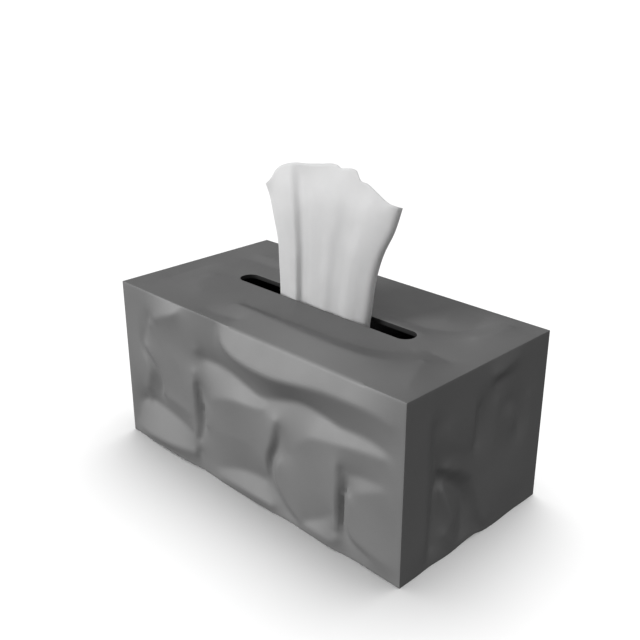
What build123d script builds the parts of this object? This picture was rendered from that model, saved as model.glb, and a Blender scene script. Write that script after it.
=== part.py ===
"""Tissue box: a moulded cover with creased walls over a stack of folded tissues, one of them drawn up."""
from build123d import *
import os
import numpy as np
from scipy.spatial import Delaunay

# Cover, in millimetres; length along X, width along Y, open below
LENGTH = 260.0
WIDTH = 136.0
HEIGHT = 118.0
WALL = 3.0
EDGE_RADIUS = 2.0
FOOT_RADIUS = 1.5
SLOT_LENGTH = 157.0
SLOT_WIDTH = 14.5
SLOT_RIM_RADIUS = 0.7
SLOT_MARGIN = 5.0

# How the walls are faceted: facet size outside and inside, how softly a wall bends at a crease, and the steps
# around a place inside, where the wall's deepest crease nearby keeps it from getting thin
FACET = 7.5
INNER_FACET = 12.0
INNER_SPREAD = [(0, 0), (3, 0), (2, 2), (0, 3), (-2, 2), (-3, 0), (-2, -2), (0, -3), (2, -2)]
SOFTNESS = 2.5
INNER_EASE = 14.0
ROUNDING = (0, 0.5, 1)

# Tissues
STACK_END_ROOM = 24.5
STACK_SIDE_ROOM = 13.0
STACK_HEIGHT = 62.0
STACK_FOLD_RADIUS = 5.0
TISSUE_THICKNESS = 1.2
SEAT_CLEARANCE = 0.3

# Creases of a wall: points (along, up, height) in percent of its half length and of its height, and in
# millimetres out of the wall. Hills and hollows alternate, and the wall bends smoothly between them.
LONG_WALL = {
    "foot": [(-94, 0, 0), (-81, 0, 0.6), (-58, 0, 0.2), (-46, 0, -0.3), (-36, 0, -1.2), (-27, 0, 0),
             (-12, 0, 0.8), (12, 0, 0.8), (26, 0, 0.2), (46, 0, 0.2), (60, 0, 0.4), (73, 0, -0.2),
             (94, 0, 0)],
    "top fold": [(-17, 92, 1.4), (-14, 87, 3), (-6, 83.5, 4.2), (6, 82, 4.8), (15, 82, 5),
                 (30, 83.5, 4.8), (45, 86.5, 4.4), (58, 87.5, 4.2), (72, 87.5, 3.8), (86, 86.5, 2.6),
                 (95, 85, 1)],
    "top slope": [(-9, 91, 2.4), (6, 90, 2.6), (20, 90, 2.7), (35, 91.5, 2.4), (55, 93, 2),
                  (75, 93, 1.8), (90, 92, 1)],
    "under the top fold": [(-38, 77, -1.4), (-30, 75, -4.6), (-20, 75.5, -5.2), (-12, 75, -5),
                           (0, 72.5, -4), (10, 69.5, -2.8), (15, 68.5, -2), (22, 70.5, -2.8),
                           (32, 74, -4.2), (42, 75.5, -4.6), (52, 75.5, -4.2), (62, 74, -3.4),
                           (68, 73, -2.2), (75, 73.5, -2), (85, 73, -1.4), (94, 69, -0.4)],
    "start of the top fold": [(-21, 97, -0.4), (-22, 91, -1), (-24, 84, -2.4), (-30, 79, -3.4)],
    "upper middle brow": [(-28, 66, -3.6), (-18, 66, -2.2), (-6, 65, -1.2), (5, 64, -0.6)],
    "middle brow": [(-26, 46, -1.2), (-17, 48, 1.8), (-4, 53, 2), (11, 57, 0.9)],
    "middle panel": [(-24, 30, -2.8), (-10, 32, 0.4), (4, 36, 0.9)],
    "middle foot": [(-26, 11, -2.2), (-14, 15, -2.6), (0, 18, -2.6), (11, 19, -2.6)],
    "left lip of the second hollow": [(-41, 66, 0.4), (-42, 56, 1.4), (-42, 40, 2), (-42, 25, 1.8),
                                      (-42, 14, 1), (-43, 7, 0)],
    "second hollow": [(-37, 60, -2.2), (-33, 50, -4.6), (-30.5, 42, -5), (-31, 34, -5), (-34, 25, -3.4),
                      (-38, 17, -1.8), (-38, 9, -2.2), (-35, 4, -2)],
    "left lip of the third hollow": [(20, 57, 0), (17, 48, 1), (15, 40, 1.2), (14, 32, 0.8),
                                     (15, 25, -0.4)],
    "third hollow": [(27, 53, -2.8), (26, 45, -4.8), (23, 38, -4.6), (20.5, 30, -3), (17, 20, -2.2),
                     (20, 13, -2.4), (26, 6, -1.6), (34, 2, -0.4)],
    "right panel's lower lip": [(23, 24, -2.2), (25, 16, -0.8), (30, 10, 0.3), (38, 6, 0.8)],
    "upper right brow": [(30, 66, -3), (42, 68, -2), (54, 68, -1.2), (68, 67, -0.6)],
    "right brow": [(32, 47, -2.8), (37, 50, 0), (43, 54, 1.9), (54, 58, 2.2), (68, 60, 1.6),
                   (80, 63, 0.4)],
    "left lip of the fourth hollow": [(60, 54, 1.4), (60, 42, 2.2), (60, 28, 2), (59.5, 16, 1.4),
                                      (60, 9, 0.8)],
    "fourth hollow": [(66, 52, -1.8), (69, 42, -4.2), (68, 32, -4.2), (67, 22, -3.2), (66, 14, -2.4),
                      (70, 8, -2), (78, 6, -1.2), (86, 6, -0.4)],
    "outer panel's lower lip": [(71, 16, -0.8), (76, 13, 0.2), (85, 12, 0.4)],
    "over the outer brow": [(73, 50, -3.6), (80, 50, -2.8), (87, 50, -1.6)],
    "outer brow": [(73, 37, -1.6), (79, 38, 0), (87, 40, 0.6)],
    "foot of the right panel": [(40, 5, 0.8), (50, 4, 1.4), (57, 3, 1.8)],
    "over the right panel's foot": [(42, 15, -0.6), (54, 18, 0)],
    "left lip of the first hollow": [(-90, 90, 0), (-91, 75, 0), (-88, 64, 0), (-82, 56, 0.2),
                                     (-80, 46, 0.4), (-79, 37, 0)],
    "first hollow": [(-81, 91, -1), (-83, 80, -2), (-83, 70, -2.2), (-78, 60, -3), (-71, 51, -4.2),
                     (-68, 45, -4.6), (-70, 37, -4.2)],
    "upper left fold": [(-73, 84, 3), (-64, 89, 3.2), (-55, 94, 1.8), (-47, 97.5, 0.6)],
    "left swell": [(-60, 72, 2), (-50, 60, 1.6)],
    "over the low left hollow": [(-64, 36, -0.8), (-56, 35.5, 0.8), (-47, 34.5, 1.6)],
    "low left hollow": [(-80, 29, -3.6), (-71, 29.5, -4.6), (-60, 28.5, -4.6), (-49, 26.5, -2.6)],
    "low left slope": [(-86, 16, -1), (-72, 15, -1.4), (-58, 16, -1.6)],
    "low left swell": [(-91, 6, 0.6), (-82, 3, 1.6), (-71, 3, 1.6), (-60, 4, 1.2), (-48, 8, 0.2)],
    "side of the low left swell": [(-95, 11, 0), (-92, 20, -0.6), (-86, 28, -2)],
}
SHORT_WALL = {
    "foot": [(-81, 0, 0), (-62, 0, -0.8), (-37, 0, 0.2), (-12, 0, -0.8), (6, 0, -0.8), (21, 0, 0.2),
             (66, 0, 0)],
    "left pillar": [(-72, 85, 0.4), (-72, 64, 0.6), (-71, 42, 1), (-72, 21, 1.2), (-73, 7, 0.6)],
    "long hollow": [(-62, 83, -1.6), (-60, 68, -3.2), (-56, 55, -4.6), (-59, 38, -4.2), (-61, 24, -4.4),
                    (-61, 10, -3)],
    "pillow": [(-40, 76, 0.6), (-30, 62, 1.2), (-22, 55, 1)],
    "right of the pillow": [(-4, 80, -1.8), (-3, 68, -3), (-2, 58, -2.6)],
    "pillow's lip": [(-9, 78, 0.4), (-9, 66, 0.8)],
    "under the pillow": [(-42, 47, -4.4), (-30, 40, -5), (-20, 31, -5), (-17, 20, -4.8), (-17, 8, -3.4)],
    "low pillow's brow": [(-48, 36, -0.8), (-38, 28, 0), (-27, 20, 0.2)],
    "low pillow": [(-42, 14, 0.4), (-30, 6, 0.4)],
    "shelf": [(-14, 49, 0.6), (-2, 40, 0.4), (2, 27, 0.4), (8, 18, 0.8), (13, 10, 1), (17, 4, 0.8)],
    "under the shelf": [(-4, 30, -3), (0, 20, -4.4), (3, 12, -4.6), (5, 7, -3)],
    "shoulder": [(18, 89, 0.6), (27, 89, 1), (45, 91, 0.6), (58, 92, 0.3)],
    "under the shoulder": [(21, 84, -0.2), (38, 82, -0.4), (59, 83, -0.2)],
    "middle fold": [(25, 74, 0.8), (24, 61, 0.8), (24, 47, 0.5)],
    "curved hollow": [(40, 72, -2.4), (54, 65, -3), (61, 54, -3.2), (63, 42, -1.6)],
    "over the curved hollow": [(36, 65, 0.6), (50, 60, 0.9), (56, 51, 0.8)],
    "right pillar": [(72, 68, 0.5), (72, 55, 0.8), (76, 34, 0.5)],
    "right swell": [(50, 25, 0.8), (74, 15, 0.8)],
}
# Creases of the roof: the second number is in percent of its half width
ROOF = {
    "front fold": [(-30, -62, 1.2), (-14, -62, 2.8), (4, -62, 4.2), (23, -61, 4.8), (42, -60, 4.8),
                   (62, -56, 4.2), (74, -48, 2.8)],
    "behind the front fold": [(-26, -54, -0.8), (-8, -54, -0.8), (15, -53, -0.6), (38, -52, -0.6),
                              (58, -47, -0.8), (67, -36, -1.2), (70, -24, -1.2)],
    "front right swell": [(79, -30, 1.6), (84, -50, 1.8), (90, -75, 1)],
    "right hollow": [(77, -15, -1.4), (88, -17, -1)],
    "right middle": [(86, 5, -0.4)],
    "back right swell": [(80, 40, 1.2), (83, 60, 1.6), (84, 82, 1.2)],
    "back hollow": [(23, 25, -2), (42, 26, -2.2), (60, 27, -2.2), (70, 38, -2.2), (74, 55, -2.2),
                    (70, 80, -1.4)],
    "back swell": [(23, 46, -0.6), (42, 48, -0.4), (58, 54, -0.2), (50, 75, 0.4)],
    "left hollow": [(-86, 37, -0.6), (-73, 39, -1.4), (-55, 39, -1.4)],
    "left back swell": [(-80, 56, 0), (-58, 58, 0)],
    "left end hollow": [(-87, 7, -0.8), (-88, -22, -1.2), (-87, -56, -0.8)],
    "front left swell": [(-74, -20, 1), (-70, -45, 1.2), (-58, -60, 1)],
    "front left edge": [(-35, -88, -0.8), (-15, -84, -0.6)],
}

# Drawn tissue, folded in two along its right edge: that edge and its left one as (rise above the cover, x),
# its top edge in front and behind as (share of its width, rise), and its pleats as (share, depth towards the
# back). In the slot its folds take up the slot's whole width, less the clearance.
LEFT_EDGE = [(-41, -47), (-6, -39.5), (22, -40.3), (35, -41.5), (54, -46), (72, -51.2), (95, -57)]
RIGHT_EDGE = [(-41, 51), (-6, 42.8), (8, 44.5), (34, 48.7), (46, 52.7), (61, 60.2), (78, 66.4), (95, 71)]
TOP_EDGE = [(0, 72), (0.1, 82.4), (0.19, 87.6), (0.35, 91), (0.54, 94.5), (0.68, 94), (0.72, 89.8),
            (0.85, 83.3), (1, 77.6)]
BACK_TOP_EDGE = [(0.32, 62), (0.45, 68), (0.7, 70), (0.9, 70), (1, 72)]
PLEATS = [(0, 0.2), (0.08, -0.7), (0.18, -1.6), (0.215, -1.6), (0.25, 0.5), (0.28, 0.4), (0.36, -0.4),
          (0.48, -0.8), (0.6, -1.4), (0.67, -0.5), (0.76, -0.5), (0.88, -1.2), (0.95, -0.7), (1, 0)]
BACK_PLEATS = [(0.32, 0.6), (0.42, -0.4), (0.55, 0.8), (0.7, -0.3), (0.85, 0.6), (1, 0)]
PLEATS_AT_TOP = 0.85
FOLD_RADIUS = 2.3
SLOT_CLEARANCE = 0.3
FOLD_ON_STACK = 0.5
TAIL_LENGTH = 34.0
TAIL_BEND_RADIUS = 14.0
FRONT_COLUMNS = 23
BACK_COLUMNS = 7
ROWS_ABOVE_SLOT = 8


def smooth_line(points, step):
    """Points about step apart along a smooth line through the given ones."""
    points = np.array(points, float)
    ends = [2 * points[0] - points[1]], points, [2 * points[-1] - points[-2]]
    padded = np.vstack(ends)
    spans = []
    for before, start, end, after in zip(padded, padded[1:], padded[2:], padded[3:]):
        count = max(1, round(np.hypot(*(end - start)[:2]) / step))
        t = (np.arange(count) / count)[:, None]
        bend = 2 * before - 5 * start + 4 * end - after
        twist = 3 * start - before - 3 * end + after
        spans.append(start + 0.5 * ((end - before) * t + bend * t**2 + twist * t**3))
    return np.vstack(spans + [points[-1:]])


def thin_out(points, gap, kept=()):
    """The points that lie more than gap from each other and from those already kept."""
    spots = np.vstack([kept, points]) if len(kept) else np.array(points)
    chosen = np.zeros(len(spots), bool)
    chosen[:len(kept)] = True
    for i in range(len(kept), len(spots)):
        apart = spots[chosen, :2] - spots[i, :2]
        chosen[i] = not len(apart) or (apart**2).sum(-1).min() > gap**2
    return spots[chosen]


def bent_plate(nodes):
    """Height of a plate bent smoothly through the nodes, as a function of a list of (along, up)."""
    places = nodes[:, :2]
    count = len(nodes)

    def distance(points):
        apart = points[:, None, :] - places[None]
        return np.sqrt((apart**2).sum(-1) + SOFTNESS**2)

    system = np.ones((count + 1, count + 1))
    system[:count, :count] = distance(places)
    system[count, count] = 0
    weights = np.linalg.solve(system, np.append(nodes[:, 2], 0))
    return lambda points: distance(np.asarray(points, float)[:, :2]) @ weights[:count] + weights[count]


class Wall:
    """One creased face of the cover, on a plane with its own along, up and out directions."""

    def __init__(self, creases, along, up, out, reach, half_length, low, high, flat=()):
        self.along, self.up, self.out = (np.array(d, float) for d in (along, up, out))
        self.reach, self.half_length, self.low, self.high = reach, half_length, low, high
        rise = max(abs(low), abs(high))
        scale = np.array([half_length / 100, rise / 100, 1])
        self.lines = [np.array(flat, float).reshape(-1, 3)]
        self.lines += [smooth_line(np.array(line, float) * scale, FACET * 0.7) if len(line) > 1
                       else np.array(line, float) * scale for line in creases.values()]
        rim = np.array([(*p, 0) for p in self.outline(0, 0, FACET * 0.7) if low < 0 or p[1] > FACET / 2])
        nodes = thin_out(np.vstack([rim] + self.lines), 2)
        self.plate = bent_plate(nodes)

    def sides(self, inset, foot, step):
        """Steps along the face and up it, inset from its edges, with its foot raised."""
        bottom = self.low + inset if self.low < 0 else foot
        right, top = self.half_length - inset, self.high - inset
        across = np.linspace(-right, right, 1 + round(2 * self.half_length / step))
        upward = np.linspace(bottom, top, 1 + round((self.high - self.low) / step))
        return across, upward

    def outline(self, inset, foot, step):
        """Points around the face."""
        across, upward = self.sides(inset, foot, step)
        low_side = [(x, upward[0]) for x in across]
        right_side = [(across[-1], y) for y in upward]
        top_side = [(x, upward[-1]) for x in across]
        left_side = [(across[0], y) for y in upward]
        return np.array(low_side + right_side[1:] + top_side[:-1] + left_side[1:-1])

    def placed(self, places, inset, foot, depth, ease):
        """Points in space of places on the face, set back by depth, its relief eased out at its edges."""
        across, upward = self.sides(inset, foot, FACET)
        edge = np.minimum(across[-1] - np.abs(places[:, 0]), upward[-1] - places[:, 1])
        if self.low < 0:
            edge = np.minimum(edge, places[:, 1] - upward[0])
        near = np.clip(edge / max(ease, 1e-3), 0, 1)
        upright = places if self.low < 0 else np.maximum(places, (-np.inf, FOOT_RADIUS))
        around = [self.plate(upright + step) for step in (INNER_SPREAD if depth else [(0, 0)])]
        heights = np.min(around, axis=0) * near * near * (3 - 2 * near)
        if self.low < 0:
            heights *= quiet_near_slot(places)
        spots = np.outer(places[:, 0], self.along) + np.outer(places[:, 1], self.up)
        return spots + np.outer(heights + self.reach - depth, self.out)

    def foot(self, step, inset, foot, depth, ease):
        """Points in space along the foot of the face."""
        across, upward = self.sides(inset, foot, step)
        return self.placed(np.array([(x, upward[0]) for x in across]), inset, foot, depth, ease)

    def facets(self, step, inset, foot, depth, ease):
        """Triangles of the face: their corners lie on its rim, along its creases and evenly between them."""
        rim = self.outline(inset, foot, FACET)
        across, upward = self.sides(inset, foot, FACET)
        rows = np.arange(upward[0], upward[-1], step * 0.87)
        columns = np.arange(across[0], across[-1], step)
        filling = [(x + step / 2 * (i % 2), y) for i, y in enumerate(rows) for x in columns]
        creased = np.vstack([line[:, :2] for line in self.lines])
        places = rim
        for points, gap in ((creased, 0.55), (np.array(filling), 0.8)):
            clear = np.abs(points[:, 0]) < across[-1] - step / 2
            clear &= np.abs(points[:, 1] - (upward[0] + upward[-1]) / 2) < (upward[-1] - upward[0] - step) / 2
            places = thin_out(points[clear], step * gap, places)
        spots = self.placed(places, inset, foot, depth, ease)
        mesh = Delaunay(places).simplices
        a, b, c = (places[mesh[:, k]] for k in range(3))
        area = (b - a)[:, 0] * (c - a)[:, 1] - (b - a)[:, 1] * (c - a)[:, 0]
        return [spots[t] for t in mesh[np.abs(area) > 1e-6]]


def polygon(points):
    """A closed wire through the points."""
    return Wire.make_polygon([Vector(*p) for p in np.round(points, 6)])


def facet_solid(triangles, others=()):
    """A solid whose skin is the given triangles and other faces."""
    return Solid(Shell([Face(polygon(t)) for t in triangles] + list(others)))


def quiet_near_slot(places):
    """0 beside the slot, where the roof is flat, rising to 1 away from it."""
    straight = (SLOT_LENGTH - SLOT_WIDTH) / 2
    beyond = np.hypot(np.maximum(np.abs(places[:, 0]) - straight, 0), places[:, 1]) - SLOT_WIDTH / 2
    share = np.clip(beyond / SLOT_MARGIN - 1, 0, 1)
    return share * share * (3 - 2 * share)


def slot_surround():
    """Points at roof height in a ring around the slot."""
    ring = SlotOverall(SLOT_LENGTH + 2 * SLOT_MARGIN, SLOT_WIDTH + 2 * SLOT_MARGIN).wire()
    count = round(ring.length / FACET)
    return [(*tuple(ring @ (i / count))[:2], 0) for i in range(count)]


def turned(start, end, share):
    """The direction that share of the quarter turn from start to end."""
    angle = share * np.pi / 2
    return np.cos(angle) * start + np.sin(angle) * end


def strip(rows):
    """Triangles between rows of points, each row as long as the next."""
    triangles = []
    for near, far in zip(rows, rows[1:]):
        for a, b, c, d in zip(near, near[1:], far[1:], far):
            triangles += [(a, b, c), (a, c, d)]
    return triangles


def cover_walls():
    """The four side walls, anticlockwise from the front, and the roof."""
    x, y, z = np.eye(3)
    span, girth = LENGTH / 2, WIDTH / 2
    front = Wall(LONG_WALL, x, z, -y, girth, span, 0, HEIGHT)
    right = Wall(SHORT_WALL, y, z, x, span, girth, 0, HEIGHT)
    back = Wall(LONG_WALL, -x, z, y, girth, span, 0, HEIGHT)
    left = Wall(SHORT_WALL, -y, z, -x, span, girth, 0, HEIGHT)
    roof = Wall(ROOF, x, y, z, HEIGHT, span, -girth, girth, slot_surround())
    return [front, right, back, left], roof


def rounded_edges(wall, following):
    """Triangles of the round edges above a wall and between it and the following one, and of their corner."""
    across, upward = wall.sides(EDGE_RADIUS, FOOT_RADIUS, FACET)
    inset = (wall.reach - EDGE_RADIUS) * wall.out
    top_line = [along * wall.along + upward[-1] * wall.up + inset for along in across]
    side_line = [across[-1] * wall.along + up * wall.up + inset for up in upward]
    triangles = []
    for line, other in ((top_line, wall.up), (side_line, following.out)):
        triangles += strip([[p + EDGE_RADIUS * turned(wall.out, other, s) for p in line] for s in ROUNDING])
    a, b, c = wall.out, following.out, wall.up
    ab, bc, ca = (turned(p, q, 0.5) for p, q in ((a, b), (b, c), (c, a)))
    octant = ((a, ab, ca), (ab, b, bc), (ca, bc, c), (ab, bc, ca))
    return triangles + [[top_line[-1] + EDGE_RADIUS * d for d in corner] for corner in octant]


def rounded_foot(sides):
    """Triangles of the round edge around the foot, and the flat rim inside it that the cover stands on."""
    outer, inner = [], []
    for wall, following in zip(sides, sides[1:] + sides[:1]):
        outer += [(p, wall.out) for p in wall.foot(FACET, EDGE_RADIUS, FOOT_RADIUS, 0, 0)]
        corner = outer[-1][0] - EDGE_RADIUS * wall.out
        outward = turned(wall.out, following.out, 0.5)
        outer += [(corner + EDGE_RADIUS * outward, outward)]
        inner += list(wall.foot(FACET, WALL, 0, WALL, INNER_EASE))[:-1]
    outer += outer[:1]
    down = -sides[0].up
    rows = [[p + FOOT_RADIUS * (turned(out, down, s) - out) for p, out in outer] for s in ROUNDING]
    return strip(rows), Face(polygon(rows[-1][:-1]), [polygon(inner)])


def make_cover():
    """Five creased walls as one shell with rounded edges, open below, with a slot in the roof."""
    sides, roof = cover_walls()
    triangles, rim = rounded_foot(sides)
    for wall in sides + [roof]:
        triangles += wall.facets(FACET, EDGE_RADIUS, FOOT_RADIUS, 0, 0)
        triangles += wall.facets(INNER_FACET, WALL, 0, WALL, INNER_EASE)
    for wall, following in zip(sides, sides[1:] + sides[:1]):
        triangles += rounded_edges(wall, following)
    shell = facet_solid(triangles, [rim])
    shell -= Pos(0, 0, HEIGHT - 2 * WALL) * extrude(SlotOverall(SLOT_LENGTH, SLOT_WIDTH), 4 * WALL)
    slot_edges = shell.edges().filter_by(lambda e: SLOT_WIDTH - 0.1 < 2 * abs((e @ 0).Y) < SLOT_WIDTH + 0.1)
    rim_edges = slot_edges.filter_by(lambda e: abs((e @ 0).Z - HEIGHT) + abs((e @ 1).Z - HEIGHT) < 1e-3)
    return fillet(rim_edges, SLOT_RIM_RADIUS)


def make_stack():
    """The tissues still folded into each other, as one block with rounded folds along its sides."""
    length = LENGTH - 2 * (WALL + STACK_END_ROOM)
    width = WIDTH - 2 * (WALL + STACK_SIDE_ROOM)
    block = Box(length, width, STACK_HEIGHT, align=(Align.CENTER, Align.CENTER, Align.MIN))
    return fillet(block.edges().filter_by(Axis.X), STACK_FOLD_RADIUS)


def eased(knots, at):
    """A smooth curve through (place, value) knots, read at the given places."""
    line = smooth_line([(place, value) for place, value in knots], 0.01)
    return np.interp(at, line[:, 0], line[:, 1])


def tissue_columns():
    """Across the drawn tissue, round its fold: share of its width, turn at the fold, pleat and top edge."""
    front = np.linspace(0, 1, FRONT_COLUMNS)
    fold = np.linspace(0, np.pi, 6)[1:-1]
    back = np.linspace(1, BACK_TOP_EDGE[0][0], BACK_COLUMNS)
    share = np.concatenate([front, 0 * fold + 1, back])
    turn = np.concatenate([0 * front, fold, 0 * back + np.pi])
    pleat = np.concatenate([eased(PLEATS, front), 0 * fold, eased(BACK_PLEATS, back)])
    fold_top = TOP_EDGE[-1][1] + (BACK_TOP_EDGE[-1][1] - TOP_EDGE[-1][1]) * fold / np.pi
    top = np.concatenate([eased(TOP_EDGE, front), fold_top, eased(BACK_TOP_EDGE, back)])
    return share, turn, pleat, top


def tissue_middle():
    """Rows of points on the middle of the drawn tissue, from its tail on the stack to its top edge."""
    share, turn, pleat, top = tissue_columns()
    seat = STACK_HEIGHT + SEAT_CLEARANCE + TISSUE_THICKNESS / 2
    slot_foot, slot_head = HEIGHT - 2 * WALL, HEIGHT + WALL
    slot_depth = SLOT_WIDTH / 2 - SLOT_CLEARANCE - TISSUE_THICKNESS / 2
    layer = FOLD_RADIUS * (1 - np.cos(turn))
    fold = layer + pleat
    fold = slot_depth * (2 * (fold - fold.min()) / np.ptp(fold) - 1)
    bend = TAIL_BEND_RADIUS
    foot = seat + bend
    rows = []

    def add(level, y, z, offset, lean):
        left, right = eased(LEFT_EDGE, level - HEIGHT), eased(RIGHT_EDGE, level - HEIGHT) - FOLD_RADIUS
        across = left + (right - left) * share + FOLD_RADIUS * np.sin(turn)
        rows.append(np.stack([across, y + offset * np.cos(lean), z + offset * np.sin(lean)], -1))

    for run in np.linspace(TAIL_LENGTH, 0, 4):
        add(foot, run + bend, seat, FOLD_ON_STACK * layer, np.pi / 2)
    for bent in (1 / 3, 2 / 3, 1):
        angle = bent * np.pi / 2
        gap = FOLD_ON_STACK + (1 - FOLD_ON_STACK) * bent
        y, z = bend * (1 - np.sin(angle)), seat + bend * (1 - np.cos(angle))
        add(foot, y, z, gap * layer, np.pi / 2 - angle)
    for climb in np.linspace(0.25, 1, 4):
        level = foot + (slot_foot - foot) * climb
        add(level, 0, level, (1 - climb) * layer + climb * fold, 0)
    for climb in np.linspace(0, 1, ROWS_ABOVE_SLOT + 1):
        level = slot_head + (HEIGHT + top - slot_head) * climb
        add(level, 0, level, (1 + (PLEATS_AT_TOP - 1) * climb) * fold, 0)
    return np.array(rows)


def make_tissue():
    """The tissue drawn up through the slot: a pleated sheet folded in two, with a flat tail on the stack."""
    middle = tissue_middle()
    upward, across = np.gradient(middle, axis=(0, 1))
    normal = np.cross(across, upward)
    normal *= TISSUE_THICKNESS / 2 / np.linalg.norm(normal, axis=-1, keepdims=True)
    front, back = middle - normal, middle + normal
    triangles = strip(list(front)) + strip(list(back))
    for edge in (np.s_[0], np.s_[-1], np.s_[:, 0], np.s_[:, -1]):
        triangles += strip([list(front[edge]), list(back[edge])])
    return facet_solid(triangles)


os.makedirs("parts", exist_ok=True)
for name, make in (("cover", make_cover), ("tissue_stack", make_stack), ("drawn_tissue", make_tissue)):
    solid = make()
    solid.label = name
    export_step(solid, f"parts/{name}.step")
    print(name, "valid" if solid.is_valid else "NOT VALID", round(solid.volume), "mm3")
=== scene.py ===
"""Looks of the tissue box: its creased plastic cover, the tissues inside and the tissue drawn up."""

import bmesh
import bpy
import math
import numpy as np
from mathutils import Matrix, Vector


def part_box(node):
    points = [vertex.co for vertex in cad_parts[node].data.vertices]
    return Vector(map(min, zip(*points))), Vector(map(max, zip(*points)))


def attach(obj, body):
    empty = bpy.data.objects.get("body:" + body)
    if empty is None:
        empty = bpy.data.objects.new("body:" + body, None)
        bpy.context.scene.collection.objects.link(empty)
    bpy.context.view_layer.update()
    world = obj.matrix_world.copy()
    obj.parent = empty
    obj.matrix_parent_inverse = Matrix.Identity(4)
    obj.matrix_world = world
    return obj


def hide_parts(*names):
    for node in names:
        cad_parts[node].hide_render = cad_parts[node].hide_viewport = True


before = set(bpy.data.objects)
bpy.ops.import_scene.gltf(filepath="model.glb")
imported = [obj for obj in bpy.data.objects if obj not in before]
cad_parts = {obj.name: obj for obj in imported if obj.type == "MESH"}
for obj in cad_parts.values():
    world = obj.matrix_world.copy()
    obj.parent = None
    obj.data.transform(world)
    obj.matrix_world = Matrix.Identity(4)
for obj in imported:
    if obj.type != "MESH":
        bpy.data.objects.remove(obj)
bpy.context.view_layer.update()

MM = 0.001

# Camera, fitted to the box's edges in the photograph
EYE = Vector((0.39513, -0.39584, 0.33842))
TARGET = Vector((-0.00169, 0.0, 0.10611))
LENS_MM = 51.41
SENSOR_MM = 36.0

# Cover, in metres: its flat faces, wall and slot, and the round of edges sharper than EDGE_ANGLE
LENGTH = 260 * MM
WIDTH = 136 * MM
HEIGHT = 118 * MM
WALL = 3 * MM
SLOT_LENGTH = 157 * MM
SLOT_WIDTH = 14.5 * MM
EDGE_ROUND = 0.8 * MM
EDGE_ANGLE = math.radians(66)
EDGE_SEGMENTS = 3
# Its mesh: the width of a cell, and the gap below which two corners become one
CELL = 1.85 * MM
MERGE_GAP = 0.05 * MM
# Strips where the creases fade out, along the edges and the slot, or run straight down, at the foot
EDGE_STRIP = 1.9 * MM
FOOT_STRIP = 1.5 * MM
SLOT_MARGIN = 0.8 * MM
# Its creases: the step between points along one, the least gap between points, and the softness of the bend
CREASE_STEP = 2 * MM
CREASE_GAP = 1.5 * MM
CREASE_SOFTNESS = 1 * MM
# Points along a face's edges in its two directions, and how many places are worked out at a time
RIM_ALONG = 44
RIM_UP = 22
BATCH = 4000

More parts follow.
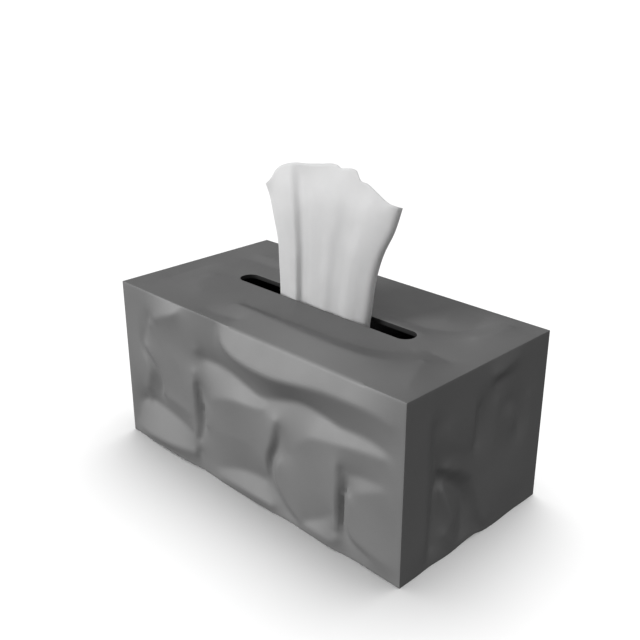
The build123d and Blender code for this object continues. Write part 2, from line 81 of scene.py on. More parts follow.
# Creases of a wall: points (along, up, height) in percent of its half length and of its height, and in
# millimetres out of the wall. A point is listed where the camera sees it against the flat wall. Between the
# creases the wall stretches like a skin.
LONG_WALL = {
    "foot": [(-94, 0, 0), (-70, 0, 0), (-46, 0, 0), (-36, 0, -0.8), (-27, 0, 0), (0, 0, 0.2),
             (30, 0, 0), (60, 0, 0.2), (72, 0, -0.5), (94, 0, -0.5)],
    "top fold": [(-18, 94, 1.3), (-17.4, 88.4, 3.2), (-12.8, 84.2, 4.9), (-5.1, 81.6, 5.8),
                 (5.1, 80.5, 6), (15.4, 80.2, 6), (25.6, 81.4, 5.8), (35.9, 83.3, 5.2),
                 (46.2, 85.3, 4.4), (56.4, 86.4, 3.9), (69.2, 87, 3.5), (82, 87, 2.4), (92, 85, 1.1)],
    "under the top fold": [(-38, 77, -1), (-31, 74.5, -4.2), (-23, 75.1, -5.8), (-12.8, 74.6, -6),
                           (-5.1, 72.9, -5.6), (3.8, 69.8, -4.8), (12, 67.5, -3.8), (20, 70, -3.8),
                           (28, 72.5, -4.8), (36, 75, -5.4), (46, 75.4, -5.6), (56, 74.3, -5.4),
                           (64, 72.3, -4.6), (72, 72.9, -3.8), (82, 72.9, -2.6), (93, 70, -0.8)],
    "start of the top fold": [(-21, 97, -0.4), (-22, 91, -1), (-24, 84, -2.4), (-30, 79, -3.4)],
    "middle brow": [(-29, 47, -1.6), (-26, 51, -0.6), (-20, 54, 0.1), (-10, 57, 0.3), (2.6, 58.8, 0),
                    (12, 61, -0.7)],
    "middle panel": [(-22, 32, -0.6), (-8, 34, -0.2), (6, 37, 0)],
    "middle foot": [(-27, 7, -0.6), (-14, 12.5, -1.8), (-5, 16, -2.6), (5, 18.2, -3), (14.5, 19, -3)],
    "left lip of the second hollow": [(-40.5, 62, 0.3), (-40.8, 56, 0.5), (-40.8, 40, 0.6),
                                      (-40.8, 25, 0.6), (-41.4, 14, 0.6), (-42, 8.5, 1.2)],
    "second hollow": [(-38.4, 57, -1), (-35.4, 51.7, -2.6), (-32.6, 46, -3.6), (-31.8, 40.4, -3.8),
                      (-31.2, 36.2, -3.6), (-32, 31.9, -3), (-34, 28.2, -2.2), (-36.4, 24.9, -1.4),
                      (-38.3, 21.2, -0.9), (-39.2, 16.4, -0.7), (-38.7, 12.1, -0.8), (-36.7, 7.9, -0.9),
                      (-34, 3.7, -0.7)],
    "left lip of the third hollow": [(20.5, 57, 0), (19.3, 50, 0.3), (18, 44, 0.4), (16, 38.5, 0.6),
                                     (14.4, 33.5, 0.6), (14.4, 29, 0.2), (15.4, 24, -0.8)],
    "third hollow": [(23.5, 54, -1.4), (23.6, 47, -2.6), (22.2, 41, -3), (20.2, 35.5, -2.8),
                     (19, 30, -2.6), (18.8, 25, -2.4), (19.8, 20.5, -2.2), (21.8, 16.4, -2),
                     (25.4, 12, -1.6), (30, 7.6, -1.4), (35, 4, -0.9)],
    "right panel's lower lip": [(26, 37.6, -1.4), (21.6, 31.9, -0.3), (20.2, 27.1, 0),
                                (20.4, 22.6, 0.1), (22.4, 17.9, 0.3), (26.2, 13.2, 0.4), (31, 8.8, 0.6),
                                (36.4, 5, 0.5)],
    "right brow": [(31, 42.5, -1.8), (34, 47.5, -0.9), (38, 52.5, -0.2), (43, 57, 0), (52, 60, 0),
                   (62, 62.2, -0.2), (75, 64.4, -0.3), (88, 66, 0)],
    "left lip of the fourth hollow": [(61, 56, 0.2), (61.2, 48, 0.8), (61.2, 36, 1.2), (61.2, 24, 1.2),
                                      (61, 13, 1.4)],
    "fourth hollow": [(65, 50, -1.6), (68.6, 44.6, -3), (67.6, 36.2, -3.2), (66.8, 29, -3),
                      (66.6, 22, -2.8), (67.4, 16.9, -2.4), (69.8, 12.8, -1.8), (75, 9.6, -1.2),
                      (81, 7.4, -0.6)],
    "outer panel's lower lip": [(67.8, 36.2, -0.8), (67, 29, -0.4), (66.8, 22, -0.2), (68, 17, 0.2),
                                (70.4, 13.4, 0.6), (76, 10.8, 1), (82, 9.8, 1.3), (89, 9.2, 1.3),
                                (95, 8, 0.7)],
    "over the outer brow": [(70, 48.5, -3), (76, 50.5, -2.6), (83, 51.5, -1.4), (89, 52, -0.4)],
    "outer brow": [(70.6, 38, -0.9), (75, 41, 0), (81, 44.5, 0.2), (88, 48, 0.2)],
    "foot of the right panel": [(42, 3.4, 0.5), (50, 2.8, 1.3), (58, 3.2, 1.8), (61, 7, 1.8)],
    "over the right panel's foot": [(42, 7.5, -0.8), (49, 12, -1.4), (55, 16, -1.2), (58.6, 20, 0)],
    "left lip of the first hollow": [(-86, 89, -0.3), (-87.5, 78, -0.4), (-88, 68, -0.4),
                                     (-86, 61, -0.4), (-82, 54, -0.2), (-80.5, 47, 0), (-82, 41, -0.2),
                                     (-84, 35.5, -0.8)],
    "first hollow": [(-77, 85, -0.9), (-78.2, 78.5, -1.4), (-82, 71.5, -1.6), (-83, 66, -1.6),
                     (-81.2, 60.8, -1.8), (-76.6, 56.6, -2.4), (-71.6, 52.4, -3.2), (-68.8, 47.2, -4),
                     (-67.7, 43.2, -4.2), (-69, 37.7, -4.2), (-72.2, 34, -4.2)],
    "upper left fold": [(-73, 84.5, 3), (-64, 89, 3.5), (-55, 93.5, 2.4), (-50, 97.5, 0.8)],
    "left swell": [(-62, 72, 1), (-52, 58, 1), (-50, 46, 1)],
    "over the low left hollow": [(-64, 36.4, -0.6), (-56, 35.6, 0.6), (-46, 34, 1.2)],
    "low left hollow": [(-77, 30.5, -5.4), (-66, 29.2, -5), (-56, 27, -3.8), (-48, 24.5, -2),
                        (-43, 22, -0.5)],
    "low left swell": [(-91.5, 5, 0.4), (-87, 2.8, 1.4), (-78, 2.8, 2.2), (-66, 3.8, 2.6),
                       (-54, 6.2, 2.5), (-44, 8.5, 1.8)],
    "side of the low left swell": [(-94.6, 6, -0.5), (-93.6, 11, -1.2), (-92.2, 17, -1.8),
                                   (-89, 25, -3), (-83.3, 29, -4.6)],
    "edge of the middle panel": [(-32.6, 46, -2.2), (-32.2, 40.4, -1.6), (-31.8, 36.2, -1.4),
                                 (-32.6, 31.9, -1.1), (-34.6, 28.2, -0.7), (-36.8, 24.9, -0.3),
                                 (-38.6, 21.2, 0), (-39.4, 16.4, 0.1), (-39, 12.1, 0.1), (-37, 8.1, 0),
                                 (-34, 4, 0)],
    "edge of the left swell": [(-75.4, 82, 0.8), (-78.8, 78.5, 0.3), (-82.8, 71.5, 0), (-83.8, 66, 0),
                               (-82.2, 62.2, 0), (-77.6, 58, -0.2), (-72.4, 53.8, -0.8),
                               (-69.4, 47.8, -1.4), (-68.2, 43.2, -1.7), (-69.4, 38, -1.9)],
    "lower edge of the middle foot": [(-22, 2.4, 0.5), (-5, 2.6, 1.5), (8, 2.6, 1.9), (17, 2.8, 1.5)],
}
SHORT_WALL = {
    "foot": [(-81, 0, 0), (-62, 0, -0.4), (-37, 0, 0.2), (-12, 0, -0.4), (3, 0, -0.8), (18, 0, 0.4),
             (66, 0, 0)],
    "left pillar": [(-70, 85, 0.4), (-69, 64, 0.6), (-68, 50, 0.8), (-68, 36, 0.8), (-68, 20, 0.8),
                    (-68, 8, 0.4)],
    "long hollow": [(-64, 80, -1.4), (-64, 68, -2.6), (-61, 58, -3.8), (-58, 51, -5.4), (-61, 42, -4.4),
                    (-63, 28, -4), (-63.5, 13, -3)],
    "pillow": [(-44, 74, 0.4), (-36, 64, 0.8), (-20, 60, 0.8)],
    "right of the pillow": [(-5, 78, -1.6), (-5, 68, -2.4), (-6, 58, -2)],
    "pillow's lip": [(-8, 78, 0.3), (-8, 66, 0.5), (-9, 58, 0.4)],
    "under the pillow": [(-47, 47, -3.8), (-37, 43, -4.4), (-28, 37, -4.6), (-22, 30, -4.6),
                         (-20, 20, -4.2), (-20, 10, -3)],
    "low pillow's brow": [(-49, 42, -1), (-43, 36, 0), (-37, 29, 0.4), (-29, 18, 0.4)],
    "low pillow": [(-42, 14, 0.6), (-30, 6, 0.4)],
    "shelf": [(-12, 46, 0.4), (-3, 36, 0.4), (1, 27, 0.3), (6, 20, 0.6), (11, 13.5, 0.9), (15, 8, 1.2),
              (18, 4.2, 1.2)],
    "under the shelf": [(-5, 29, -1), (-2.4, 22, -1.3), (-0.6, 15, -1.6), (2, 9, -1.7), (4.4, 4, -1.4)],
    "shoulder": [(19, 90.5, 1.8), (26, 90, 2.2), (38, 91.5, 1.5), (52, 93.5, 0.7)],
    "under the shoulder": [(20, 86, -0.8), (38, 86, -0.6), (58, 87, -0.2)],
    "middle fold": [(25, 74, 0.8), (24, 61, 0.8), (24, 47, 0.5)],
    "curved hollow": [(40, 72, -1.4), (51, 67.5, -1.9), (57, 61.6, -2), (60, 53, -1.8), (61, 46, -1)],
    "over the curved hollow": [(37, 66, 0.4), (48, 62, 0.6), (54, 55, 0.5)],
    "right pillar": [(76, 68, 0.3), (77, 55, 0.4), (79, 34, 0.4)],
    "right swell": [(50, 25, 0.8), (74, 15, 0.8)],
    "right lip of the long hollow": [(-57, 34, -1.2), (-57.5, 24, -1), (-57, 14, -0.6)],
    "pillow's lower lip": [(-46, 53, -0.4), (-34, 49, 0.2), (-22, 46, 0.4), (-12, 40, 0.2)],
}
# Creases of the roof, in the same way: the second number is in percent of its half width
ROOF = {
    "front fold": [(-30, -57, 1.6), (-14, -57.5, 3.8), (4, -59, 5.6), (23, -61, 6.4), (42, -61, 6.4),
                   (60, -58, 5.6), (70, -48, 4), (74, -34, 2.2)],
    "behind the front fold": [(-26, -53, 0.2), (-8, -52, 0.8), (15, -50, 1.2), (38, -49, 1.3),
                              (56, -45, 0.8), (65, -35, -0.2), (69, -23, -0.9)],
    "front right swell": [(79, -30, 2.6), (84, -50, 3), (90, -75, 1.8)],
    "right hollow": [(77, -15, -1.4), (88, -17, -1)],
    "right middle": [(86, 5, -0.4)],
    "back right swell": [(80, 40, 2), (83, 60, 2.8), (84, 82, 2)],
    "back hollow": [(23, 25, -2), (42, 26, -2.2), (60, 27, -2.2), (70, 38, -2.2), (74, 55, -2.2),
                    (70, 80, -1.4)],
    "back swell": [(23, 46, -0.6), (42, 48, -0.4), (58, 54, -0.2), (50, 75, 0.4)],
    "left hollow": [(-86, 37, -0.6), (-73, 39, -1.4), (-55, 39, -1.4)],
    "left back swell": [(-80, 56, 0), (-58, 58, 0)],
    "left end hollow": [(-87, 7, -0.8), (-88, -22, -1.2), (-87, -56, -0.8)],
    "front left swell": [(-74, -20, 1), (-70, -45, 1.2), (-58, -60, 1)],
    "front left edge": [(-35, -88, -0.8), (-15, -84, -0.6)],
    "front of the slot": [(-60, -13, 0), (0, -13, 0), (60, -13, 0)],
    "back of the slot": [(-60, 13, 0), (0, 13, 0), (60, 13, 0)],
    "left end of the slot": [(-62.5, -6, 0), (-62.5, 6, 0)],
    "right end of the slot": [(62.5, -6, 0), (62.5, 6, 0)],
}

# Drawn tissue, in millimetres: its left edge and the fold at its right as (rise above the cover, x)
LEFT_EDGE = [(-41, -44), (-6, -36.5), (22, -37.3), (35, -38.2), (54, -43), (74, -48.5), (97, -55)]
RIGHT_EDGE = [(-41, 49), (-6, 41), (8, 42.8), (34, 47.3), (46, 51.5), (61, 59.2), (72, 63.4), (81, 67),
              (97, 72)]
# Its top edge in front and behind the fold as (share of the width from the left, rise)
TOP_EDGE = [(0, 73), (0.067, 78.2), (0.12, 84), (0.153, 86.5), (0.215, 89.5), (0.285, 91.5),
            (0.376, 92.6), (0.494, 94.7), (0.582, 96.2), (0.607, 95.9), (0.624, 94.9), (0.673, 95.3),
            (0.722, 95.6), (0.742, 94.6), (0.761, 91.2), (0.827, 88.6), (0.897, 84.9), (0.966, 81.3),
            (1, 80)]
BACK_TOP_EDGE = [(0.15, 58), (0.32, 64), (0.45, 68), (0.7, 70), (0.85, 70), (0.93, 72), (1, 76)]
# Its pleats as (share, depth towards the back), in the slot and at the top, and those of the layer behind
PLEATS = [(0, 0.2), (0.1, -0.5), (0.22, -1.4), (0.255, -1.4), (0.295, 0), (0.35, 0.1), (0.43, -0.4),
          (0.53, -0.7), (0.62, -1), (0.69, -0.5), (0.77, -0.5), (0.88, -1.2), (0.95, -0.8), (1, -0.2)]
TOP_PLEATS = [(0, 0.6), (0.08, -0.4), (0.21, -1.2), (0.25, -1.2), (0.295, 0), (0.35, 0.1), (0.43, -0.3),
              (0.53, -0.5), (0.63, -0.8), (0.71, -0.4), (0.78, -0.4), (0.88, -0.9), (0.95, -0.6), (1, -0.2)]
BACK_PLEATS = [(0.15, 0.3), (0.25, 0.7), (0.42, -0.4), (0.55, 0.8), (0.7, -0.3), (0.85, 0.6), (1, 0)]
# How its pleats close towards the top: the share of their depth left there, the height over which that
# happens and where it starts. Near the top edge they spread, over TOP_SPREADS, to the even depth FLAT_TOP
TOP_CLOSES = 0.85
TOP_RISE = 80.0
TOP_STARTS = 4.0
TOP_SPREADS = 12.0
FLAT_TOP = -0.6
# Its fold: how far it reaches to the right, its radius, and the share of that left on the stack
FOLD_REACH = 7.0
FOLD_RADIUS = 2.3
FOLD_ON_STACK = 0.3
# Its tail on the stack, the bend up from there, and how far below the cover's top it is gathered
TAIL_LENGTH = 34.0
TAIL_BEND = 14.0
GATHER_DEPTH = 6.0
# Its clearance from the stack and from the slot's sides, and its thickness
TISSUE_LIFT = 0.7
TISSUE_THICKNESS = 0.3
# Points across its front, its fold and its layer behind, and rows along each stretch of its length
FRONT_POINTS = 121
FOLD_POINTS = 12
BACK_POINTS = 50
TAIL_ROWS = 12
BEND_ROWS = 10
INSIDE_ROWS = 16
DRAWN_ROWS = 56

# Stack of tissues
STACK_LAYERS = 40
LAYER_GROOVE = 0.5 * MM
STACK_FOLD = 5 * MM

# Finishes: the part of the noise's range that is used, its detail, and a Mix node's colour sockets
NOISE_RANGE = (0.3, 0.7)
NOISE_DETAIL = 3
COLOR_A, COLOR_B, COLOR_RESULT = 6, 7, 2
# Tissue: its two tones, and painted shade that darkens its colour towards the slot: its brightness where it
# leaves the slot, its brightness higher up, and the rise above the cover between the two
PAPER_DARK = (0.52, 0.52, 0.522, 1)
PAPER_LIGHT = (0.57, 0.57, 0.572, 1)
PAINTED_SHADE_AT_SLOT = 0.74
PAINTED_SHADE_AT_TOP = 0.95
PAINTED_SHADE_RISE = 80 * MM

# Floor, in metres: flat around the box, then sweeping up to a pale background
FLOOR_REACH = 20.0
FLAT_FLOOR = 2.0
FLOOR_SWEEP = 0.02
FLOOR_CELLS = 40
# Lights: name, direction that it comes from, spread in degrees and power
BOX_LIGHTS = [
    ("key", (-0.52, -0.81, 0.28), 30, 5.4),
    ("overhead", (0, 0, 1), 150, 1.9),
    ("front", (0.4, -0.82, 0.4), 60, 0.7),
    ("fill", (0.95, 0.1, 0.3), 90, 0.85),
]
FLOOR_LIGHT = ("floor_light", (-0.13, 0.22, 0.97), 66, 4.2)
ROOM_LIGHT = 0.04


def smooth_curve(knots, at):
    """A smooth curve through (place, value) knots, read at the given places."""
    places, values = np.array(knots, float).T
    slopes = np.gradient(values, places)
    at = np.clip(at, places[0], places[-1])
    k = np.clip(np.searchsorted(places, at, side="right") - 1, 0, len(places) - 2)
    gap = places[k + 1] - places[k]
    t = (at - places[k]) / gap
    rise = (2 * t**3 - 3 * t**2 + 1) * values[k] + (3 * t**2 - 2 * t**3) * values[k + 1]
    return rise + gap * ((t**3 - 2 * t**2 + t) * slopes[k] + (t**3 - t**2) * slopes[k + 1])


def ease(share):
    """A share from 0 to 1 that starts and ends gently."""
    return share * share * (3 - 2 * share)


def add_object(name, mesh_data, material):
    """A smooth-shaded object from a finished bmesh."""
    mesh = bpy.data.meshes.new(name)
    mesh_data.to_mesh(mesh)
    mesh_data.free()
    obj = bpy.data.objects.new(name, mesh)
    bpy.context.scene.collection.objects.link(obj)
    mesh.materials.append(material)
    mesh.shade_smooth()
    return obj


def stand_for(obj, node):
    """The piece takes a CAD node's place and its body."""
    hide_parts(node)
    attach(obj, "root")


def add_modifier(obj, name, kind, **settings):
    """A modifier with the given settings."""
    modifier = obj.modifiers.new(name, kind)
    for key, value in settings.items():
        setattr(modifier, key, value)


def thinned(spots):
    """The spots without those that lie closer than the crease gap to an earlier one."""
    chosen = np.zeros(len(spots), bool)
    for i, spot in enumerate(spots):
        apart = spots[chosen, :2] - spot[:2]
        chosen[i] = not len(apart) or (apart**2).sum(-1).min() > CREASE_GAP**2
    return spots[chosen]


def away_from_slot(places):
    """0 within a margin of the slot, where the roof is flat, rising to 1 over a second margin."""
    past_end = np.maximum(np.abs(places[:, 0]) - (SLOT_LENGTH - SLOT_WIDTH) / 2, 0)
    gap = np.hypot(past_end, places[:, 1]) - SLOT_WIDTH / 2
    return ease(np.clip(gap / SLOT_MARGIN - 1, 0, 1))


class Wall:
    """One outer face of the cover, bent through its creases as seen from the eye.

    Its directions are along, up and out. It lies at a distance of reach from the middle, runs half a length
    to each side, and goes up from low to high. Only the roof has a low edge below 0.
    """

    def __init__(self, creases, eye, along, up, out, reach, half_length, low, high):
        self.along, self.up, self.out = along, up, out
        self.reach, self.half_length, self.low, self.high = reach, half_length, low, high
        self.is_roof = low < 0
        sight = np.array([eye @ along, eye @ up, eye @ out - reach])
        lines = [self.crease(points, sight) for points in creases.values()]
        self.spots = thinned(np.vstack([self.rim()] + lines))
        count = len(self.spots)
        system = np.ones((count + 1, count + 1))
        system[:count, :count] = self.distance(self.spots[:, :2])
        system[count, count] = 0
        self.weights = np.linalg.solve(system, np.append(self.spots[:, 2], 0))

    def crease(self, points, sight):
        """A smooth line through a crease's points, each moved along its sight line to its own height."""
        points = np.array(points, float) * (self.half_length / 100, self.high / 100, MM)
        points[:, :2] += (sight[:2] - points[:, :2]) * points[:, 2:] / sight[2]
        if len(points) == 1:
            return points
        gone = np.append(0, np.cumsum(np.hypot(*np.diff(points[:, :2], axis=0).T)))
        at = np.linspace(0, gone[-1], 1 + math.ceil(gone[-1] / CREASE_STEP))
        return np.stack([smooth_curve(list(zip(gone, values)), at) for values in points.T], -1)

    def inset(self, places):
        """How far places lie from the edges that the face shares with its neighbours."""
        edge = np.minimum(self.half_length - np.abs(places[:, 0]), self.high - places[:, 1])
        return np.minimum(edge, places[:, 1] - self.low) if self.is_roof else edge

    def rim(self):
        """Points at height 0 along those edges."""
        across = np.linspace(-self.half_length, self.half_length, RIM_ALONG)
        upward = np.linspace(self.low, self.high, RIM_UP)
        ends = (self.low, self.high) if self.is_roof else (self.high,)
        sides = [(side * self.half_length, up, 0) for side in (-1, 1) for up in upward[1:-1]]
        return np.array(sides + [(along, up, 0) for up in ends for along in across])

    def distance(self, places):
        """How far each place is from each crease point, on the scale that makes a stretched skin."""
        apart = places[:, None, :] - self.spots[None, :, :2]
        return np.log(((apart**2).sum(-1) + CREASE_SOFTNESS**2) / CREASE_SOFTNESS**2)

    def height(self, places):
        """Height of the face at (along, up) places, before it fades at the edges."""
        batches = np.array_split(places, 1 + len(places) // BATCH)
        bends, base = self.weights[:-1], self.weights[-1]
        return np.concatenate([self.distance(batch) @ bends + base for batch in batches])

    def lift(self, verts, places):
        """Puts points in space at (along, up) places on the face, at its height there, 0 at its edges."""
        near = np.clip(self.inset(places) / EDGE_STRIP, 0, 1)
        if self.is_roof:
            height = self.height(places) * away_from_slot(places)
        else:
            above_foot = np.maximum(places[:, 1], FOOT_STRIP)
            height = self.height(np.stack([places[:, 0], above_foot], -1))
        out = self.reach + height * near
        flat = np.outer(places[:, 0], self.along) + np.outer(places[:, 1], self.up)
        for vert, spot in zip(verts, flat + np.outer(out, self.out)):
            vert.co = spot

    def add_grid(self, mesh):
        """Adds the whole face as a grid."""
        columns = round(2 * self.half_length / CELL)
        rows = round((self.high - self.low) / CELL)
        verts = bmesh.ops.create_grid(mesh, x_segments=columns, y_segments=rows, size=1)["verts"]
        flat = np.array([v.co[:2] for v in verts])
        upward = self.low + (flat[:, 1] + 1) / 2 * (self.high - self.low)
        self.lift(verts, np.stack([flat[:, 0] * self.half_length, upward], -1))


def roof_loops(columns, rows):
    """Matching points around the roof's edge and around the slot, anticlockwise from the right-hand end."""
    span, girth, radius = LENGTH / 2, WIDTH / 2, SLOT_WIDTH / 2
    straight = (SLOT_LENGTH - SLOT_WIDTH) / 2
    edge, slot = [], []
    for side in (1, -1):
        for i in range(rows):
            turn = i / rows - 0.5
            angle = math.pi * turn
            edge.append((side * span, side * 2 * girth * turn))
            slot.append((side * (straight + radius * math.cos(angle)), side * radius * math.sin(angle)))
        for i in range(columns):
            along = side * (1 - 2 * i / columns)
            edge.append((along * span, side * girth))
            slot.append((along * straight, side * radius))
    return edge, slot


def add_roof(mesh, roof):
    """Adds the roof as rings of faces between the slot and the roof's edge."""
    loops = []
    for outline in roof_loops(round(LENGTH / CELL), round(WIDTH / CELL)):
        verts = bmesh.ops.create_circle(mesh, segments=len(outline), radius=1)["verts"]
        for vert, (x, y) in zip(verts, outline):
            vert.co = (x, y, HEIGHT)
        loops += list({e for v in verts for e in v.link_edges})
    made = bmesh.ops.bridge_loops(mesh, edges=loops)
    rings = round((WIDTH - SLOT_WIDTH) / 2 / CELL)
    bmesh.ops.subdivide_edges(mesh, edges=made["edges"], cuts=rings - 1, use_grid_fill=True)
    roof.lift(list(mesh.verts), np.array([v.co[:2] for v in mesh.verts]))


def make_cover(material, painted_shade_material):
    """The five creased faces as one moulded shell with rounded edges and a slot."""
    x, y, z = np.eye(3)
    span, girth = LENGTH / 2, WIDTH / 2
    mesh = bmesh.new()
    add_roof(mesh, Wall(ROOF, np.array(EYE), x, y, z, HEIGHT, span, -girth, girth))
    for side in (1, -1):
        eye = np.array(EYE) * (side, side, 1)
        Wall(LONG_WALL, eye, side * x, z, -side * y, girth, span, 0, HEIGHT).add_grid(mesh)
        Wall(SHORT_WALL, eye, side * y, z, side * x, span, girth, 0, HEIGHT).add_grid(mesh)
    bmesh.ops.remove_doubles(mesh, verts=mesh.verts, dist=MERGE_GAP)
    bmesh.ops.recalc_face_normals(mesh, faces=mesh.faces)
    cover = add_object("creased_cover", mesh, material)
    cover.data.materials.append(painted_shade_material)
    # The inside and the rim faces take the second material, whose near-black colour is painted shade for the
    # shadow inside the slot
    add_modifier(cover, "wall", "SOLIDIFY", thickness=WALL, offset=-1,
                 material_offset=1, material_offset_rim=1)
    add_modifier(cover, "edges", "BEVEL", width=EDGE_ROUND, segments=EDGE_SEGMENTS,
                 limit_method="ANGLE", angle_limit=EDGE_ANGLE)
    stand_for(cover, "cover")
    return cover


class TissueWidth:
    """The tissue from its left edge across its front, round the fold at its right and back behind it."""

    def __init__(self):
        front = np.linspace(0, 1, FRONT_POINTS)
        fold = np.linspace(0, np.pi, FOLD_POINTS)[1:-1]
        back = np.linspace(1, BACK_TOP_EDGE[0][0], BACK_POINTS)
        fold_low, fold_high = TOP_EDGE[-1][1], BACK_TOP_EDGE[-1][1]
        fold_top = fold_low + (fold_high - fold_low) * fold / np.pi
        self.share = np.concatenate([front, 0 * fold + 1, back])
        self.turn = np.concatenate([0 * front, fold, 0 * back + np.pi])
        back_top = smooth_curve(BACK_TOP_EDGE, back)
        self.top = np.concatenate([smooth_curve(TOP_EDGE, front), fold_top, back_top])
        self.layer = FOLD_RADIUS * (1 - np.cos(self.turn))
        behind = smooth_curve(BACK_PLEATS, back)
        pleats = self.layer + np.concatenate([smooth_curve(PLEATS, front), 0 * fold, behind])
        top_pleats = self.layer + np.concatenate([smooth_curve(TOP_PLEATS, front), 0 * fold, behind])
        self.nearest = pleats.min()
        self.room = SLOT_WIDTH / MM / 2 - TISSUE_LIFT
        self.scale = 2 * self.room / np.ptp(pleats)
        self.in_slot = self.fitted(pleats)
        self.at_top = TOP_CLOSES * self.fitted(top_pleats)
        self.flat_top = TOP_CLOSES * self.fitted(self.layer + FLAT_TOP)

    def fitted(self, depths):
        """Depths scaled so that the pleats fill the slot."""
        return self.scale * (depths - self.nearest) - self.room

    def row(self, level, y, z, depth, lean):
        """Points across the tissue at a level's width, at (y, z) and a depth from it at an angle of lean."""
        rise = level - HEIGHT / MM
        left = smooth_curve(LEFT_EDGE, rise)
        right = smooth_curve(RIGHT_EDGE, rise) - FOLD_REACH
        across = left + (right - left) * self.share + FOLD_REACH * np.sin(self.turn)
        return np.stack([across, y + depth * np.cos(lean), z + depth * np.sin(lean)], -1)


def tissue_rows():
    """Rows of points from the tail on the stack, round its bend and up through the slot to the top edge."""
    tissue = TissueWidth()
    layer = tissue.layer
    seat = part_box("tissue_stack")[1].z / MM + TISSUE_LIFT
    cover_top = HEIGHT / MM
    foot, slot_foot = seat + TAIL_BEND, cover_top - GATHER_DEPTH
    rows = []
    for run in np.linspace(TAIL_LENGTH, 0, TAIL_ROWS)[:-1]:
        rows.append(tissue.row(foot, run + TAIL_BEND, seat, FOLD_ON_STACK * layer, np.pi / 2))
    for bent in np.linspace(0, 1, BEND_ROWS)[:-1]:
        angle = bent * np.pi / 2
        y, z = TAIL_BEND * (1 - np.sin(angle)), seat + TAIL_BEND * (1 - np.cos(angle))
        gap = FOLD_ON_STACK + (1 - FOLD_ON_STACK) * bent
        rows.append(tissue.row(foot, y, z, gap * layer, np.pi / 2 - angle))
    for climb in np.linspace(0, 1, INSIDE_ROWS)[:-1]:
        level = foot + (slot_foot - foot) * climb
        gathered = (1 - ease(climb)) * layer + ease(climb) * tissue.in_slot
        rows.append(tissue.row(level, 0, level, gathered, 0))
    for climb in np.linspace(0, 1, DRAWN_ROWS):
        level = slot_foot + (cover_top + tissue.top - slot_foot) * climb
        opened = np.clip((level - cover_top - TOP_STARTS) / TOP_RISE, 0, 1)
        pleats = (1 - opened) * tissue.in_slot + opened * tissue.at_top
        spread = np.clip((cover_top + tissue.top - level) / TOP_SPREADS, 0, 1)
        depth = tissue.flat_top + (pleats - tissue.flat_top) * spread * (2 - spread)
        rows.append(tissue.row(level, 0, level, depth, 0))
    return np.array(rows) * MM


def make_tissue(material):
    """The tissue drawn up through the slot, folded in two along its right-hand edge."""
    points = tissue_rows()
    rows, columns = points.shape[:2]
    mesh = bmesh.new()
    grid = bmesh.ops.create_grid(mesh, x_segments=columns - 1, y_segments=rows - 1, size=1)
    for vert in grid["verts"]:
        column = round((vert.co.x + 1) / 2 * (columns - 1))
        row = round((vert.co.y + 1) / 2 * (rows - 1))
        vert.co = points[row, column]
    tissue = add_object("tissue", mesh, material)
    add_modifier(tissue, "paper", "SOLIDIFY", thickness=TISSUE_THICKNESS * MM, offset=0)
    stand_for(tissue, "drawn_tissue")
    return tissue


def make_stack(material):
    """The tissues left in the box: thin layers with grooves between them and soft folds along the sides."""
    low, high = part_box("tissue_stack")
    mesh = bmesh.new()
    bmesh.ops.create_cube(mesh, size=1)
    upright = [e for e in mesh.edges if e.verts[0].co.z != e.verts[1].co.z]
    bmesh.ops.subdivide_edges(mesh, edges=upright, cuts=2 * STACK_LAYERS - 1, use_grid_fill=True)
    for vert in mesh.verts:
        share = vert.co.z + 0.5
        grooved = LAYER_GROOVE * (round(share * 2 * STACK_LAYERS) % 2)
        edge = max(0, STACK_FOLD - min(share, 1 - share) * (high.z - low.z))
        rounding = STACK_FOLD - math.sqrt(STACK_FOLD**2 - edge**2)
        x = 2 * vert.co.x * (high.x - grooved)
        y = 2 * vert.co.y * (high.y - grooved - rounding)
        vert.co = (x, y, low.z + share * (high.z - low.z))
    stack = add_object("folded_tissues", mesh, material)
    stand_for(stack, "tissue_stack")
    return stack


def grey(tone):
    """A plain grey."""
    return (tone, tone, tone, 1)


class Finish:
    """A material in the making: its shader and the nodes that feed it."""

    def __init__(self, name):
        self.material = bpy.data.materials.new(name)
        self.material.use_nodes = True
        self.nodes = self.material.node_tree.nodes
        self.join = self.material.node_tree.links.new
        self.shader = self.nodes["Principled BSDF"]

    def add(self, kind, **values):
        """A node with the given input values."""
        made = self.nodes.new(kind)
        for key, value in values.items():
            made.inputs[key].default_value = value
        return made

    def own_place(self):
        """The piece's own coordinates."""
        return self.add("ShaderNodeTexCoord").outputs["Object"]

    def ranged(self, value, from_low, from_high, low, high):
        """A value stretched from one range to another."""
        limits = {"From Min": from_low, "From Max": from_high, "To Min": low, "To Max": high}
        stretch = self.add("ShaderNodeMapRange", **limits)
        self.join(value, stretch.inputs["Value"])
        return stretch.outputs["Result"]

    def speckle(self, scale, low, high):
        """Noise on the piece's own coordinates, between two values."""
        noise = self.add("ShaderNodeTexNoise", Scale=scale, Detail=NOISE_DETAIL)
        self.join(self.own_place(), noise.inputs["Vector"])
        return self.ranged(noise.outputs["Fac"], *NOISE_RANGE, low, high)

    def color_mix(self, blend_type):
        """A node that mixes two colours."""
        blend = self.add("ShaderNodeMix")
        blend.data_type = "RGBA"
        blend.blend_type = blend_type
        return blend

    def tint(self, socket, scale, dark, light):
        """A colour that drifts slightly between two tones."""
        blend = self.color_mix("MIX")
        self.join(self.speckle(scale, 0, 1), blend.inputs["Factor"])
        blend.inputs[COLOR_A].default_value = dark
        blend.inputs[COLOR_B].default_value = light
        self.join(blend.outputs[COLOR_RESULT], socket)

    def grain(self, scale, depth):
        """A fine raised grain."""
        bump = self.add("ShaderNodeBump", Strength=1, Distance=depth)
        self.join(self.speckle(scale, 0, 1), bump.inputs["Height"])
        self.join(bump.outputs["Normal"], self.shader.inputs["Normal"])


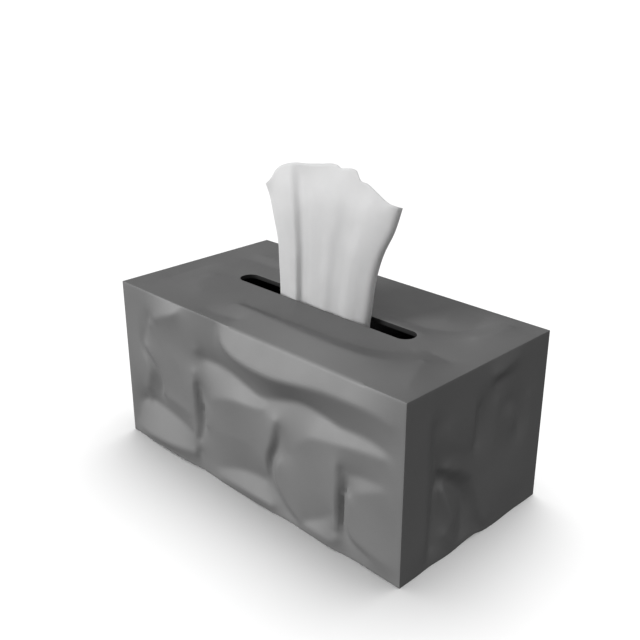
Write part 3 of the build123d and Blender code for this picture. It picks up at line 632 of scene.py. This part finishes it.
def plastic(name, dark, light, shine):
    """Satin plastic between two greys, with a fine moulded grain."""
    finish = Finish(name)
    sockets = finish.shader.inputs
    finish.tint(sockets["Base Color"], scale=18, dark=grey(dark), light=grey(light))
    finish.join(finish.speckle(scale=45, low=0.55, high=0.61), sockets["Roughness"])
    sockets["Specular IOR Level"].default_value = shine
    finish.grain(scale=1600, depth=0.03 * MM)
    return finish.material


def paper(name, see_through):
    """Soft white tissue with a fine crepe grain that lets some light through, its colour darkened towards
    the slot by painted shade.
    """
    finish = Finish(name)
    sockets = finish.shader.inputs
    place = finish.add("ShaderNodeSeparateXYZ")
    finish.join(finish.own_place(), place.inputs["Vector"])
    # Painted shade: the colour is multiplied by a brightness that grows with height, darkest where the
    # tissue leaves the slot
    painted_shade = finish.ranged(place.outputs["Z"], HEIGHT, HEIGHT + PAINTED_SHADE_RISE, PAINTED_SHADE_AT_SLOT, PAINTED_SHADE_AT_TOP)
    shade = finish.color_mix("MULTIPLY")
    shade.inputs["Factor"].default_value = 1
    finish.tint(shade.inputs[COLOR_A], scale=60, dark=PAPER_DARK, light=PAPER_LIGHT)
    finish.join(painted_shade, shade.inputs[COLOR_B])
    finish.join(shade.outputs[COLOR_RESULT], sockets["Base Color"])
    sockets["Roughness"].default_value = 0.95
    sockets["Specular IOR Level"].default_value = 0.2
    finish.grain(scale=1100, depth=0.06 * MM)
    through = finish.add("ShaderNodeBsdfTranslucent", Color=grey(0.7))
    mixed = finish.add("ShaderNodeMixShader", Fac=see_through)
    finish.join(finish.shader.outputs["BSDF"], mixed.inputs[1])
    finish.join(through.outputs["BSDF"], mixed.inputs[2])
    finish.join(mixed.outputs["Shader"], finish.nodes["Material Output"].inputs["Surface"])
    return finish.material


def pale_floor():
    """Plain pale matt floor."""
    finish = Finish("pale_floor")
    finish.tint(finish.shader.inputs["Base Color"], scale=0.5, dark=grey(0.82), light=grey(0.84))
    finish.shader.inputs["Roughness"].default_value = 0.9
    return finish.material


def make_floor():
    """The floor, which neither shades the box nor shows in its sheen."""
    mesh = bmesh.new()
    bmesh.ops.create_grid(mesh, x_segments=FLOOR_CELLS, y_segments=FLOOR_CELLS, size=FLOOR_REACH)
    for vert in mesh.verts:
        vert.co.z = FLOOR_SWEEP * max(0, vert.co.length - FLAT_FLOOR)**2
    floor = add_object("floor", mesh, pale_floor())
    floor.visible_shadow = False
    floor.visible_diffuse = False
    floor.visible_glossy = False
    return floor


def group(name, objects):
    """A collection that lights can be aimed at."""
    collection = bpy.data.collections.new(name)
    for obj in objects:
        collection.objects.link(obj)
    return collection


def sun(name, direction, spread, power, lit):
    """A soft light on the lit objects, from a patch of sky of spread degrees in the given direction."""
    light = bpy.data.lights.new(name, "SUN")
    light.angle = math.radians(spread)
    light.energy = power
    lamp = bpy.data.objects.new(name, light)
    lamp.rotation_mode = "QUATERNION"
    lamp.rotation_quaternion = Vector(direction).to_track_quat("Z", "Y")
    lamp.light_linking.receiver_collection = lit
    bpy.context.scene.collection.objects.link(lamp)


def make_lights(pieces, floor):
    """Soft studio light on the box. The floor has its own light, which leaves a soft shade at the foot."""
    scene = bpy.context.scene
    scene.view_settings.view_transform = "Standard"
    scene.world = bpy.data.worlds.new("studio")
    scene.world.use_nodes = True
    background = scene.world.node_tree.nodes["Background"]
    background.inputs["Color"].default_value = grey(1)
    background.inputs["Strength"].default_value = ROOM_LIGHT
    box = group("box", pieces)
    for light in BOX_LIGHTS:
        sun(*light, box)
    sun(*FLOOR_LIGHT, group("ground", [floor]))


def make_camera():
    """The camera at the photograph's place."""
    data = bpy.data.cameras.new("camera")
    data.lens = LENS_MM
    data.sensor_width = SENSOR_MM
    camera = bpy.data.objects.new("camera", data)
    camera.location = EYE
    camera.rotation_mode = "QUATERNION"
    camera.rotation_quaternion = (TARGET - EYE).to_track_quat("-Z", "Y")
    bpy.context.scene.collection.objects.link(camera)
    bpy.context.scene.camera = camera


outer_plastic = plastic("satin_grey_plastic", dark=0.08, light=0.09, shine=0.42)
# Painted shade: the inside of the cover, seen down the slot, is coloured near black, far darker than the
# outer plastic
inner_painted_shade_plastic = plastic("inner_painted_shade_plastic", dark=0.01, light=0.014, shine=0.04)
cover = make_cover(outer_plastic, inner_painted_shade_plastic)
tissue = make_tissue(paper("white_tissue", see_through=0.45))
stack = make_stack(paper("stacked_tissue", see_through=0.1))
make_lights([cover, tissue, stack], make_floor())
make_camera()
